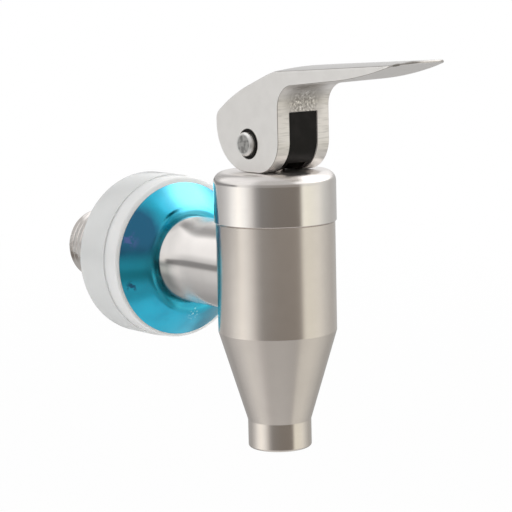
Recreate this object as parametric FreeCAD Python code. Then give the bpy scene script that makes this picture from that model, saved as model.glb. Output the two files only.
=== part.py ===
import FreeCAD, Part
import math
import os

# Beverage dispenser spigot: a self-closing lever tap on a horizontal threaded shank.
# Millimetres, +Z up along the axis of the body, origin at the centre of the outlet lip.
# The shank runs towards +Y, the paddle towards -Y, and the pin of the lever lies along X.

# Small round on turned edges
EDGE_ROUND = 0.2

# Body
BODY_RADIUS = 12.2
SPOUT_RADIUS = 6.55
SPOUT_LENGTH = 5.7
CONE_HEIGHT = 18.6
STRAIGHT_HEIGHT = 22.5
LIP_ROUND = 0.5
CONE_EDGE_ROUND = 0.4
SEAM_CHAMFER = 0.18
OUTLET_BORE_RADIUS = 4.75
CHAMBER_WALL = 2.6
FLOOR_ABOVE_CONE = 0.7
SEAT_RIM_HEIGHT = 1.0
SEAT_RIM_WIDTH = 1.4
SEAT_RIM_ROUND = 0.3
CHAMBER_FLOOR_ROUND = 1.0

# Bonnet cap, screwed into the top of the body
CAP_OVERHANG = 0.3
CAP_HEIGHT = 10.4
CAP_ROUND = 2.3
CAP_CROWN = 4.0
CAP_SKIRT_WALL = 2.34
CAP_HOLE_CLEARANCE = 0.15
CAP_SKIRT_LENGTH = 4.4
CAP_SKIRT_ROUND = 0.3
SCREWED_CLEARANCE = 0.06
SEAL_RING_HEIGHT = 1.5
SEAL_RING_WIDTH = 1.2

# Shank
SHANK_BELOW_SEAM = 10.6
NECK_RADIUS = 9.28
NECK_COPE_GAP = 0.02
NECK_END = 32.6
WASHER_SEAT_RADIUS = 7.55
THREAD_RADIUS = 8.0
THREAD_PITCH = 1.5
THREAD_ANGLE = 60.0
THREAD_DEPTH = 0.81
THREAD_CREST = 0.19
THREAD_START_GAP = 0.05
SHANK_END = 66.0
THREAD_CHAMFER = 0.7
SHANK_BORE_RADIUS = 5.5
SPIGOT_RADIUS = 7.0
SPIGOT_CLEARANCE = 0.03

# Escutcheon flange and washers on the shank
FLANGE_RIM_RADIUS = 17.1
FLANGE_CREST_RADIUS = 11.2
FLANGE_DISH_DEPTH = 4.6
FLANGE_HOLE_LIP = 0.9
FLANGE_SHEET = 0.8
FLANGE_HOLE_CLEARANCE = 0.35
FLANGE_REST_GAP = 0.05
FLANGE_CREST_ROUND = 1.5
WASHER_BORE_CLEARANCE = 0.05
FRONT_WASHER_OVERHANG = 0.5
FRONT_WASHER_THICKNESS = 4.2
FRONT_WASHER_ROUND = 0.5
REAR_WASHER_OVERHANG = 0.8
REAR_WASHER_THICKNESS = 9.7
REAR_WASHER_ROUND = 1.3

# Stem and what closes the seat
STEM_RADIUS = 2.15
STEM_CLEARANCE = 0.05
STEM_SHOULDER_RADIUS = 4.0
STEM_SHOULDER_HEIGHT = 1.2
PLUG_RADIUS = 7.4
PLUG_HEIGHT = 5.0
PLUG_BEVEL = 1.0
PLUG_ROUND = 0.3
PLUG_RECESS_CLEARANCE = 0.2
PLUG_WASHER_RADIUS = 3.4
PLUG_WASHER_THICKNESS = 0.8
SCREW_HOLE_RADIUS = 1.0
SCREW_FIT = 0.02
SCREW_CLEARANCE = 0.1
SCREW_HEAD_RADIUS = 2.0
SCREW_HEAD_HEIGHT = 1.3
SCREW_HEAD_ROUND = 0.4
SCREW_HOLE_DEPTH = 5.0
SCREW_END_GAP = 0.5
SCREW_SLOT_WIDTH = 0.6
SCREW_SLOT_DEPTH = 0.6
COLLAR_RADIUS = 6.4
COLLAR_THICKNESS = 1.5
CLIP_THICKNESS = 0.6
CLIP_RADIUS = 3.3
CLIP_GROOVE_DEPTH = 0.45
CLIP_GAP_WIDTH = 2.4

# Return spring and the guide in the cap
SPRING_WIRE_RADIUS = 0.5
SPRING_MEAN_RADIUS = 4.6
SPRING_TURNS = 6.5
SPRING_END_GAP = 0.02
TOP_WASHER_THICKNESS = 0.6
GUIDE_HEIGHT = 4.0
GUIDE_CLEARANCE = 0.05
O_RING_SECTION_RADIUS = 0.75
O_RING_PITCH = 1.9
O_RING_SQUEEZE_GAP = 0.03

# Lever: side outline from the pin's centre, Y forwards is negative
PIN_ABOVE_CHEEK_BOTTOM = 5.7
CHEEK_GAP = 0.05
CHEEK_FRONT = 9.5
CHEEK_BACK = 10.2
CHEEK_FRONT_ROUND = 6.5
CHEEK_BACK_ROUND = 9.6
HEEL_BACK_HEIGHT = 5.87
HEEL_BACK_ROUND = 2.2
HEEL_MIDDLE_BACK = 4.6
HEEL_MIDDLE_HEIGHT = 9.9
HEEL_MIDDLE_ROUND = 39.0
HEEL_TOP_FORWARD = 10.9
HEEL_TOP_HEIGHT = 15.6
HEEL_TOP_ROUND = 39.0
CROWN_HEIGHT = 1.05
CROWN_EDGE_HEIGHT = 14.85
CROWN_EDGE_TIP_HEIGHT = 16.35
UNDERSIDE_HEIGHT = 11.6
UNDERSIDE_ROUND = 4.6
UNDERSIDE_BEND_FORWARD = 33.1
UNDERSIDE_BEND_HEIGHT = 13.65
UNDERSIDE_BEND_ROUND = 80.0
TIP_BEND_FORWARD = 42.5
TIP_BEND_HEIGHT = 16.2
TIP_BEND_ROUND = 20.0
PADDLE_TIP_FORWARD = 46.0
PADDLE_TIP_HEIGHT = 17.1
PADDLE_TIP_THICKNESS = 0.5
FORK_WIDTH = 13.4
PADDLE_WIDTH = 13.0
PADDLE_TAPER_START = 15.0
PADDLE_TAPER_END = 38.0
PADDLE_TAPER_ROUND = 40.0
PADDLE_TIP_ROUND = 6.0
SLOT_WIDTH = 7.1
SLOT_TOP = 6.4

# Pin, bushes and the black insert of the fork
PIN_RADIUS = 2.4
PIN_STAND_OUT = 1.15
PIN_CHAMFER = 0.35
PIN_FIT = 0.01
BUSH_RADIUS = 3.0
BUSH_FIT = 0.02
BUSH_RUNNING_CLEARANCE = 0.05
BUSH_RECESS = 0.25
INSERT_SIDE_CLEARANCE = 0.03
INSERT_RECESS = 0.2
EYE_RADIUS = 4.4
EYE_CLEARANCE = 0.3
STEM_SWING_CLEARANCE = 0.3
PRESS_ANGLE = 45.0

# Radii and places worked out from the sizes above
CAP_RADIUS = BODY_RADIUS + CAP_OVERHANG
CHAMBER_RADIUS = BODY_RADIUS - CHAMBER_WALL
SKIRT_RADIUS = CHAMBER_RADIUS - SCREWED_CLEARANCE
CAP_POCKET_RADIUS = SKIRT_RADIUS - CAP_SKIRT_WALL
CONE_TOP_Z = SPOUT_LENGTH + CONE_HEIGHT
FLOOR_Z = CONE_TOP_Z + FLOOR_ABOVE_CONE
SEAT_Z = FLOOR_Z + SEAT_RIM_HEIGHT
SEAM_Z = CONE_TOP_Z + STRAIGHT_HEIGHT
SHANK_AXIS_Z = SEAM_Z - SHANK_BELOW_SEAM
CAP_TOP_Z = SEAM_Z + CAP_HEIGHT
PIN_Z = CAP_TOP_Z + CHEEK_GAP + PIN_ABOVE_CHEEK_BOTTOM
PLUG_WASHER_Z = SEAT_Z + PLUG_RECESS_CLEARANCE + SCREW_HEAD_HEIGHT
STEM_FOOT_Z = PLUG_WASHER_Z + PLUG_WASHER_THICKNESS
SHOULDER_Z = SEAT_Z + PLUG_HEIGHT
COLLAR_Z = SHOULDER_Z + STEM_SHOULDER_HEIGHT
CLIP_Z = COLLAR_Z + COLLAR_THICKNESS
GUIDE_TOP_Z = CAP_TOP_Z - CAP_CROWN
GUIDE_FOOT_Z = GUIDE_TOP_Z - GUIDE_HEIGHT
SPRING_TOP_Z = GUIDE_FOOT_Z - TOP_WASHER_THICKNESS
FRONT_WASHER_END = NECK_END + FRONT_WASHER_THICKNESS
REAR_WASHER_END = FRONT_WASHER_END + REAR_WASHER_THICKNESS
LEVER_TOP_Z = PIN_Z + max(PADDLE_TIP_HEIGHT, HEEL_TOP_HEIGHT)

Vector = FreeCAD.Vector
UP = Vector(0, 0, 1)
ALONG_SHANK = Vector(0, 1, 0)
ALONG_PIN = Vector(1, 0, 0)


def rounded_outline(corners):
    """Closed face in the XZ plane through (a, b, round) corners, each rounded by a tangent arc."""
    count = len(corners)
    starts, middles, ends = [], [], []
    for i, (a, b, radius) in enumerate(corners):
        here = Vector(a, 0, b)
        before = Vector(corners[i - 1][0], 0, corners[i - 1][1]) - here
        after = Vector(corners[(i + 1) % count][0], 0, corners[(i + 1) % count][1]) - here
        before.normalize()
        after.normalize()
        half = before.getAngle(after) / 2
        if radius == 0:
            starts.append(here)
            middles.append(None)
            ends.append(here)
            continue
        reach = radius / math.tan(half)
        bisector = (before + after).normalize()
        starts.append(here + before * reach)
        ends.append(here + after * reach)
        middles.append(here + bisector * (radius / math.sin(half) - radius))
    edges = []
    for i in range(count):
        if middles[i] is not None:
            edges.append(Part.Arc(starts[i], middles[i], ends[i]).toShape())
        following = starts[(i + 1) % count]
        if (following - ends[i]).Length > 1e-6:
            edges.append(Part.LineSegment(ends[i], following).toShape())
    return Part.Face(Part.Wire(edges))


def turned(corners):
    """Solid turned about Z from (radius, height, round) corners."""
    return rounded_outline(corners).revolve(Vector(0, 0, 0), UP, 360)


def on_shank(solid):
    """Lay a solid turned about Z along the shank: its height becomes the distance along +Y."""
    solid.rotate(Vector(0, 0, 0), ALONG_PIN, -90)
    solid.translate(Vector(0, 0, SHANK_AXIS_Z))
    return solid


def across(outline, width):
    """Solid of a side outline given as (Y, Z) from the pin, centred across X."""
    solid = outline.extrude(Vector(0, width, 0))
    solid.translate(Vector(0, -width / 2, 0))
    solid.rotate(Vector(0, 0, 0), UP, 90)
    solid.translate(Vector(0, 0, PIN_Z))
    return solid


def disc(radius, height, z):
    return Part.makeCylinder(radius, height, Vector(0, 0, z), UP)


def cross_pin(radius, half_length):
    """Cylinder along X through the centre of the lever's pin."""
    return Part.makeCylinder(radius, 2 * half_length, Vector(-half_length, 0, PIN_Z), ALONG_PIN)


def save(name, shape):
    shape.exportStep("parts/" + name + ".step")


def valve_body():
    rim_radius = OUTLET_BORE_RADIUS + SEAT_RIM_WIDTH
    outside = turned([
        (OUTLET_BORE_RADIUS, 0, 0),
        (SPOUT_RADIUS, 0, LIP_ROUND),
        (SPOUT_RADIUS, SPOUT_LENGTH, CONE_EDGE_ROUND),
        (BODY_RADIUS, CONE_TOP_Z, CONE_EDGE_ROUND),
        (BODY_RADIUS, SEAM_Z - SEAM_CHAMFER, 0),
        (BODY_RADIUS - SEAM_CHAMFER, SEAM_Z, 0),
        (CHAMBER_RADIUS + SEAL_RING_WIDTH, SEAM_Z, 0),
        (CHAMBER_RADIUS + SEAL_RING_WIDTH, SEAM_Z - SEAL_RING_HEIGHT, 0),
        (CHAMBER_RADIUS, SEAM_Z - SEAL_RING_HEIGHT, 0),
        (CHAMBER_RADIUS, FLOOR_Z, CHAMBER_FLOOR_ROUND),
        (rim_radius, FLOOR_Z, SEAT_RIM_ROUND),
        (rim_radius, SEAT_Z, SEAT_RIM_ROUND),
        (OUTLET_BORE_RADIUS, SEAT_Z, 0),
    ])
    side_hole = Part.makeCylinder(SPIGOT_RADIUS + SPIGOT_CLEARANCE, NECK_END,
                                  Vector(0, 0, SHANK_AXIS_Z), ALONG_SHANK)
    return outside.cut(side_hole)


def bonnet_cap():
    skirt_foot = SEAM_Z - CAP_SKIRT_LENGTH
    stem_hole = STEM_RADIUS + CAP_HOLE_CLEARANCE
    return turned([
        (stem_hole, CAP_TOP_Z, EDGE_ROUND),
        (CAP_RADIUS, CAP_TOP_Z, CAP_ROUND),
        (CAP_RADIUS, SEAM_Z + SEAM_CHAMFER, 0),
        (CAP_RADIUS - SEAM_CHAMFER, SEAM_Z, 0),
        (SKIRT_RADIUS, SEAM_Z, 0),
        (SKIRT_RADIUS, skirt_foot, CAP_SKIRT_ROUND),
        (CAP_POCKET_RADIUS, skirt_foot, CAP_SKIRT_ROUND),
        (CAP_POCKET_RADIUS, GUIDE_TOP_Z, 0),
        (stem_hole, GUIDE_TOP_Z, 0),
    ])


def bonnet_seal_ring():
    outer = CHAMBER_RADIUS + SEAL_RING_WIDTH - SCREWED_CLEARANCE
    foot = SEAM_Z - SEAL_RING_HEIGHT
    return disc(outer, SEAL_RING_HEIGHT, foot).cut(disc(CHAMBER_RADIUS, SEAL_RING_HEIGHT, foot))


def thread_corners(start, end):
    """Corners of the thread's grooves, drawn as one plain ring for each turn."""
    root = THREAD_RADIUS - THREAD_DEPTH
    flank = THREAD_DEPTH * math.tan(math.radians(THREAD_ANGLE / 2))
    corners = []
    for turn in range(int((end - start - THREAD_CREST) / THREAD_PITCH)):
        land = start + turn * THREAD_PITCH
        corners += [
            (THREAD_RADIUS, land + THREAD_CREST, 0),
            (root, land + THREAD_CREST + flank, 0),
            (root, land + THREAD_PITCH - flank, 0),
            (THREAD_RADIUS, land + THREAD_PITCH, 0),
        ]
    return corners


def inlet_shank():
    """Neck coped to the body, washer seat and thread, and a spigot let into the body's side."""
    thread_foot = REAR_WASHER_END + THREAD_START_GAP
    thread_start = thread_foot + THREAD_RADIUS - WASHER_SEAT_RADIUS
    thread_end = SHANK_END - THREAD_CHAMFER
    outside = on_shank(turned([
        (SHANK_BORE_RADIUS, 0, 0),
        (NECK_RADIUS, 0, 0),
        (NECK_RADIUS, NECK_END, EDGE_ROUND),
        (WASHER_SEAT_RADIUS, NECK_END, 0),
        (WASHER_SEAT_RADIUS, thread_foot, 0),
        (THREAD_RADIUS, thread_start, 0),
    ] + thread_corners(thread_start, thread_end) + [
        (THREAD_RADIUS, thread_end, 0),
        (THREAD_RADIUS - THREAD_CHAMFER, SHANK_END, 0),
        (SHANK_BORE_RADIUS, SHANK_END, 0),
    ]))
    spigot = on_shank(turned([
        (SHANK_BORE_RADIUS, CHAMBER_RADIUS, 0),
        (SPIGOT_RADIUS, CHAMBER_RADIUS, 0),
        (SPIGOT_RADIUS, NECK_END / 2, 0),
        (SHANK_BORE_RADIUS, NECK_END / 2, 0),
    ]))
    return outside.cut(disc(BODY_RADIUS + NECK_COPE_GAP, SEAM_Z, 0)).fuse(spigot).removeSplitter()


def escutcheon_flange():
    """Dished sheet ring: a wide cone to a rounded crest, turned in round the neck it hangs on."""
    hole = NECK_RADIUS + FLANGE_HOLE_CLEARANCE
    crest = NECK_END - FLANGE_DISH_DEPTH
    slope = math.atan2(FLANGE_DISH_DEPTH, FLANGE_RIM_RADIUS - FLANGE_CREST_RADIUS)
    inner_rim = FLANGE_RIM_RADIUS - FLANGE_SHEET / math.sin(slope)
    inner_crest = crest + FLANGE_SHEET / math.cos(slope / 2)
    lip = crest + FLANGE_HOLE_LIP
    ring = on_shank(turned([
        (FLANGE_RIM_RADIUS, NECK_END, EDGE_ROUND),
        (FLANGE_CREST_RADIUS, crest, FLANGE_CREST_ROUND),
        (hole, lip, EDGE_ROUND),
        (hole, lip + FLANGE_SHEET, 0),
        (FLANGE_CREST_RADIUS - FLANGE_SHEET / 4, inner_crest, FLANGE_CREST_ROUND - FLANGE_SHEET),
        (inner_rim, NECK_END, 0),
    ]))
    ring.translate(Vector(0, 0, FLANGE_REST_GAP - FLANGE_HOLE_CLEARANCE))
    return ring


def shank_washer(overhang, thickness, start, front_round, rear_round):
    bore = WASHER_SEAT_RADIUS + WASHER_BORE_CLEARANCE
    radius = FLANGE_RIM_RADIUS + overhang
    return on_shank(turned([
        (bore, start, 0),
        (radius, start, front_round),
        (radius, start + thickness, rear_round),
        (bore, start + thickness, 0),
    ]))


def front_seal_washer():
    return shank_washer(FRONT_WASHER_OVERHANG, FRONT_WASHER_THICKNESS, NECK_END,
                        FRONT_WASHER_ROUND, FRONT_WASHER_ROUND)


def rear_seal_washer():
    return shank_washer(REAR_WASHER_OVERHANG, REAR_WASHER_THICKNESS, FRONT_WASHER_END,
                        FRONT_WASHER_ROUND, REAR_WASHER_ROUND)


def valve_stem():
    """Round rod with a shoulder over the plug, a clip groove, and a flat eye round the pin."""
    rod = disc(STEM_RADIUS, PIN_Z - STEM_FOOT_Z, STEM_FOOT_Z)
    rod = rod.fuse(disc(STEM_SHOULDER_RADIUS, STEM_SHOULDER_HEIGHT, SHOULDER_Z))
    groove = disc(STEM_SHOULDER_RADIUS, CLIP_THICKNESS, CLIP_Z)
    groove = groove.cut(disc(STEM_RADIUS - CLIP_GROOVE_DEPTH, CLIP_THICKNESS, CLIP_Z))
    eye = cross_pin(EYE_RADIUS, STEM_RADIUS)
    pin_hole = cross_pin(PIN_RADIUS + PIN_FIT, SLOT_WIDTH)
    screw_hole = disc(SCREW_HOLE_RADIUS, SCREW_HOLE_DEPTH, STEM_FOOT_Z)
    return rod.cut(groove).fuse(eye).cut(pin_hole).cut(screw_hole).removeSplitter()


def seat_plug():
    """Soft plug with a recess below that keeps its washer and screw out of the outlet."""
    bore = STEM_RADIUS + STEM_CLEARANCE
    recess = PLUG_WASHER_RADIUS + PLUG_RECESS_CLEARANCE
    return turned([
        (recess, SEAT_Z, 0),
        (PLUG_RADIUS - PLUG_BEVEL, SEAT_Z, PLUG_ROUND),
        (PLUG_RADIUS, SEAT_Z + PLUG_BEVEL, PLUG_ROUND),
        (PLUG_RADIUS, SHOULDER_Z, PLUG_ROUND),
        (bore, SHOULDER_Z, 0),
        (bore, STEM_FOOT_Z, 0),
        (recess, STEM_FOOT_Z, 0),
    ])


def plug_washer():
    hole = disc(SCREW_HOLE_RADIUS + SCREW_CLEARANCE, PLUG_WASHER_THICKNESS, PLUG_WASHER_Z)
    return disc(PLUG_WASHER_RADIUS, PLUG_WASHER_THICKNESS, PLUG_WASHER_Z).cut(hole)


def plug_screw():
    head_foot = PLUG_WASHER_Z - SCREW_HEAD_HEIGHT
    head = turned([
        (0, head_foot, 0),
        (SCREW_HEAD_RADIUS, head_foot, SCREW_HEAD_ROUND),
        (SCREW_HEAD_RADIUS, PLUG_WASHER_Z, 0),
        (0, PLUG_WASHER_Z, 0),
    ])
    length = PLUG_WASHER_THICKNESS + SCREW_HOLE_DEPTH - SCREW_END_GAP
    shank = disc(SCREW_HOLE_RADIUS - SCREW_FIT, length, PLUG_WASHER_Z)
    slot = Part.makeBox(4 * SCREW_HEAD_RADIUS, SCREW_SLOT_WIDTH, SCREW_SLOT_DEPTH,
                        Vector(-2 * SCREW_HEAD_RADIUS, -SCREW_SLOT_WIDTH / 2, head_foot))
    return head.fuse(shank).cut(slot).removeSplitter()


def spring_collar():
    bore = disc(STEM_RADIUS + STEM_CLEARANCE, COLLAR_THICKNESS, COLLAR_Z)
    return disc(COLLAR_RADIUS, COLLAR_THICKNESS, COLLAR_Z).cut(bore)


def collar_clip():
    """Open ring snapped into the stem's groove over the collar."""
    ring = disc(CLIP_RADIUS, CLIP_THICKNESS, CLIP_Z)
    ring = ring.cut(disc(STEM_RADIUS - CLIP_GROOVE_DEPTH, CLIP_THICKNESS, CLIP_Z))
    gap = Part.makeBox(CLIP_GAP_WIDTH, CLIP_RADIUS, CLIP_THICKNESS,
                       Vector(-CLIP_GAP_WIDTH / 2, 0, CLIP_Z))
    return ring.cut(gap)


def return_spring():
    low = CLIP_Z + SPRING_WIRE_RADIUS + SPRING_END_GAP
    high = SPRING_TOP_Z - SPRING_WIRE_RADIUS - SPRING_END_GAP
    height = high - low
    path = Part.makeHelix(height / SPRING_TURNS, height, SPRING_MEAN_RADIUS)
    section = Part.Wire(Part.makeCircle(SPRING_WIRE_RADIUS, Vector(SPRING_MEAN_RADIUS, 0, 0),
                                        ALONG_SHANK))
    coil = Part.Wire(path).makePipeShell([section], True, True)
    coil.translate(Vector(0, 0, low))
    return Part.Solid(coil) if coil.ShapeType != "Solid" else coil


def spring_top_washer():
    hole = disc(STEM_RADIUS + 3 * STEM_CLEARANCE, TOP_WASHER_THICKNESS, SPRING_TOP_Z)
    return disc(CAP_POCKET_RADIUS - GUIDE_CLEARANCE, TOP_WASHER_THICKNESS, SPRING_TOP_Z).cut(hole)


def o_ring_heights():
    middle = (GUIDE_FOOT_Z + GUIDE_TOP_Z) / 2
    return [middle - O_RING_PITCH / 2, middle + O_RING_PITCH / 2]


def stem_guide_bush():
    """Plastic bush with two grooves for the O-rings."""
    bush = disc(CAP_POCKET_RADIUS - GUIDE_CLEARANCE, GUIDE_HEIGHT, GUIDE_FOOT_Z)
    bush = bush.cut(disc(STEM_RADIUS + STEM_CLEARANCE, GUIDE_HEIGHT, GUIDE_FOOT_Z))
    groove_radius = STEM_RADIUS + 2 * O_RING_SECTION_RADIUS + 2 * O_RING_SQUEEZE_GAP
    for z in o_ring_heights():
        foot = z - O_RING_SECTION_RADIUS
        bush = bush.cut(disc(groove_radius, 2 * O_RING_SECTION_RADIUS, foot))
    return bush


def stem_seal_rings():
    ring_radius = STEM_RADIUS + O_RING_SECTION_RADIUS + O_RING_SQUEEZE_GAP
    rings = []
    for z in o_ring_heights():
        rings.append(Part.makeTorus(ring_radius, O_RING_SECTION_RADIUS, Vector(0, 0, z), UP))
    return Part.makeCompound(rings)


def cheek_corners(recess):
    """Bottom corners of the cheeks in (Y, Z) from the pin, drawn in by a recess."""
    bottom = -PIN_ABOVE_CHEEK_BOTTOM + recess
    return [
        (CHEEK_BACK - recess, bottom, CHEEK_BACK_ROUND - recess),
        (-CHEEK_FRONT + recess, bottom, CHEEK_FRONT_ROUND - recess),
    ]


def paddle_crown():
    """Long cylinder whose upper side is the crown across the top of the paddle."""
    radius = ((FORK_WIDTH / 2) ** 2 + CROWN_HEIGHT ** 2) / (2 * CROWN_HEIGHT)
    axis_drop = CROWN_HEIGHT - radius
    start = Vector(0, -PADDLE_TAPER_START, PIN_Z + CROWN_EDGE_HEIGHT + axis_drop)
    tip = Vector(0, -PADDLE_TIP_FORWARD, PIN_Z + CROWN_EDGE_TIP_HEIGHT + axis_drop)
    along = (tip - start).normalize()
    reach = 2 * PADDLE_TIP_FORWARD
    return Part.makeCylinder(radius, 2 * reach, start - along * reach, along)


def lever_blank():
    """Side outline of cheeks, heel and paddle, cut to the plan and the crown of the paddle."""
    side = rounded_outline(cheek_corners(0) + [
        (-CHEEK_FRONT, UNDERSIDE_HEIGHT, UNDERSIDE_ROUND),
        (-UNDERSIDE_BEND_FORWARD, UNDERSIDE_BEND_HEIGHT, UNDERSIDE_BEND_ROUND),
        (-TIP_BEND_FORWARD, TIP_BEND_HEIGHT, TIP_BEND_ROUND),
        (-PADDLE_TIP_FORWARD, PADDLE_TIP_HEIGHT - PADDLE_TIP_THICKNESS, 0),
        (-PADDLE_TIP_FORWARD, PADDLE_TIP_HEIGHT, 0),
        (-HEEL_TOP_FORWARD, HEEL_TOP_HEIGHT, HEEL_TOP_ROUND),
        (HEEL_MIDDLE_BACK, HEEL_MIDDLE_HEIGHT, HEEL_MIDDLE_ROUND),
        (CHEEK_BACK, HEEL_BACK_HEIGHT, HEEL_BACK_ROUND),
    ])
    blank = across(side, max(FORK_WIDTH, PADDLE_WIDTH))
    plan = rounded_outline([
        (-FORK_WIDTH / 2, 2 * CHEEK_BACK, 0),
        (-FORK_WIDTH / 2, -PADDLE_TAPER_START, PADDLE_TAPER_ROUND),
        (-PADDLE_WIDTH / 2, -PADDLE_TAPER_END, PADDLE_TAPER_ROUND),
        (-PADDLE_WIDTH / 2, -PADDLE_TIP_FORWARD, PADDLE_TIP_ROUND),
        (PADDLE_WIDTH / 2, -PADDLE_TIP_FORWARD, PADDLE_TIP_ROUND),
        (PADDLE_WIDTH / 2, -PADDLE_TAPER_END, PADDLE_TAPER_ROUND),
        (FORK_WIDTH / 2, -PADDLE_TAPER_START, PADDLE_TAPER_ROUND),
        (FORK_WIDTH / 2, 2 * CHEEK_BACK, 0),
    ])
    plan.rotate(Vector(0, 0, 0), ALONG_PIN, -90)
    return blank.common(plan.extrude(Vector(0, 0, LEVER_TOP_Z))).common(paddle_crown())


def lever():
    slot = Part.makeBox(SLOT_WIDTH, 4 * CHEEK_BACK, 2 * PIN_ABOVE_CHEEK_BOTTOM + SLOT_TOP,
                        Vector(-SLOT_WIDTH / 2, -2 * CHEEK_BACK,
                               PIN_Z - 2 * PIN_ABOVE_CHEEK_BOTTOM))
    holes = cross_pin(BUSH_RADIUS + BUSH_FIT, FORK_WIDTH)
    return lever_blank().cut(slot).cut(holes)


def fork_insert():
    """Black block in the fork, with a channel that leaves the stem room to swing."""
    heel_slope = (HEEL_MIDDLE_HEIGHT - HEEL_BACK_HEIGHT) / (CHEEK_BACK - HEEL_MIDDLE_BACK)
    top = SLOT_TOP - INSERT_SIDE_CLEARANCE
    heel_height = HEEL_BACK_HEIGHT - 2 * INSERT_RECESS
    top_back = CHEEK_BACK - (top - heel_height) / heel_slope
    corners = cheek_corners(INSERT_RECESS) + [
        (-CHEEK_FRONT + INSERT_RECESS, top, 0),
        (top_back, top, 0),
        (CHEEK_BACK - INSERT_RECESS, heel_height, 0),
    ]
    width = SLOT_WIDTH - 2 * INSERT_SIDE_CLEARANCE
    block = across(rounded_outline(corners), width)
    channel_width = 2 * (STEM_RADIUS + STEM_CLEARANCE)
    channel = across(swing_outline(), channel_width)
    eye_room = cross_pin(EYE_RADIUS + EYE_CLEARANCE, channel_width / 2)
    pin_hole = cross_pin(PIN_RADIUS + BUSH_RUNNING_CLEARANCE, SLOT_WIDTH)
    return block.cut(channel).cut(eye_room).cut(pin_hole)


def swing_outline():
    """Room that the stem sweeps in the insert while the lever is pressed."""
    half = STEM_RADIUS + STEM_SWING_CLEARANCE
    reach = CHEEK_BACK + CHEEK_FRONT_ROUND
    turn = math.radians(PRESS_ANGLE)
    beyond = reach / math.cos(turn / 2)
    return rounded_outline([
        (half, 0, 0),
        (half, -reach, 0),
        (-beyond * math.sin(turn / 2), -beyond * math.cos(turn / 2), 0),
        (-reach * math.sin(turn) - half * math.cos(turn),
         -reach * math.cos(turn) + half * math.sin(turn), 0),
        (-half * math.cos(turn), half * math.sin(turn), 0),
    ])


def pivot_bushes():
    """A like bush in the pin hole of each cheek."""
    inner = SLOT_WIDTH / 2 + INSERT_SIDE_CLEARANCE
    length = FORK_WIDTH / 2 - BUSH_RECESS - inner
    bushes = []
    for start in (inner, -inner - length):
        foot = Vector(start, 0, PIN_Z)
        ring = Part.makeCylinder(BUSH_RADIUS, length, foot, ALONG_PIN)
        bore = Part.makeCylinder(PIN_RADIUS + BUSH_RUNNING_CLEARANCE, length, foot, ALONG_PIN)
        bushes.append(ring.cut(bore))
    return Part.makeCompound(bushes)


def pivot_pin():
    half = FORK_WIDTH / 2 + PIN_STAND_OUT
    pin = turned([
        (0, -half, 0),
        (PIN_RADIUS - PIN_CHAMFER, -half, 0),
        (PIN_RADIUS, -half + PIN_CHAMFER, 0),
        (PIN_RADIUS, half - PIN_CHAMFER, 0),
        (PIN_RADIUS - PIN_CHAMFER, half, 0),
        (0, half, 0),
    ])
    pin.rotate(Vector(0, 0, 0), ALONG_SHANK, 90)
    pin.translate(Vector(0, 0, PIN_Z))
    return pin


os.makedirs("parts", exist_ok=True)
save("valve_body", valve_body())
save("bonnet_cap", bonnet_cap())
save("bonnet_seal_ring", bonnet_seal_ring())
save("inlet_shank", inlet_shank())
save("escutcheon_flange", escutcheon_flange())
save("front_seal_washer", front_seal_washer())
save("rear_seal_washer", rear_seal_washer())
save("valve_stem", valve_stem())
save("seat_plug", seat_plug())
save("plug_washer", plug_washer())
save("plug_screw", plug_screw())
save("spring_collar", spring_collar())
save("collar_clip", collar_clip())
save("return_spring", return_spring())
save("spring_top_washer", spring_top_washer())
save("stem_guide_bush", stem_guide_bush())
save("stem_seal_rings", stem_seal_rings())
save("lever", lever())
save("fork_insert", fork_insert())
save("pivot_bushes", pivot_bushes())
save("pivot_pin", pivot_pin())
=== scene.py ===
import bmesh
import bpy
import math
from mathutils import Matrix, Vector


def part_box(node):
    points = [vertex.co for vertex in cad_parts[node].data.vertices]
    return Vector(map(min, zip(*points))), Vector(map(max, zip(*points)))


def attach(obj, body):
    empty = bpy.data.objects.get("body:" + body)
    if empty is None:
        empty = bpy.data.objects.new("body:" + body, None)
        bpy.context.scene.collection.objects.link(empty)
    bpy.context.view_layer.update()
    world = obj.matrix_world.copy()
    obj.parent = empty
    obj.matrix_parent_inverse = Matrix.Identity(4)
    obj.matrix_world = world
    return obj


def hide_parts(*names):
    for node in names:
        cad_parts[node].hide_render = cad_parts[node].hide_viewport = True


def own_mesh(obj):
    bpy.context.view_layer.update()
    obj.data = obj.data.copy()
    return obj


# Looks of a beverage dispenser spigot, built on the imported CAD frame.
# Metres, +Z up along the body. The shank runs towards +Y and the paddle towards -Y.
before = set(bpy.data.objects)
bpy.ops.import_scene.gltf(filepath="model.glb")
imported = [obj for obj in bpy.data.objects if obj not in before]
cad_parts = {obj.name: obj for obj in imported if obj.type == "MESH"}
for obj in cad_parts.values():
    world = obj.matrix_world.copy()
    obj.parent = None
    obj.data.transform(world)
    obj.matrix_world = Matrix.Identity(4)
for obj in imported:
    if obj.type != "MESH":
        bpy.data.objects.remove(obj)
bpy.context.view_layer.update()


# Valve body
# Bar of stainless steel, turned to a straight barrel, a cone and a short spout, and bored out.
# The tool leaves fine rings round it, which smear the reflections up and down the barrel.
MM = 0.001
STEEL = (0.70, 0.645, 0.595, 1)
STEEL_SHADE = (0.60, 0.55, 0.505, 1)
FINE_RING = 0.09 * MM
BROAD_RING = 0.7 * MM
RING_DEPTH = 0.0012 * MM
RING_TONE = 0.08
RING_DULLNESS = 0.02
STAIN = 3.5 * MM
STAINED = (0.35, 0.75)
STAIN_TONE = 0.2
STAIN_DULLNESS = 0.06
BARREL_POLISH = 0.21


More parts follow.
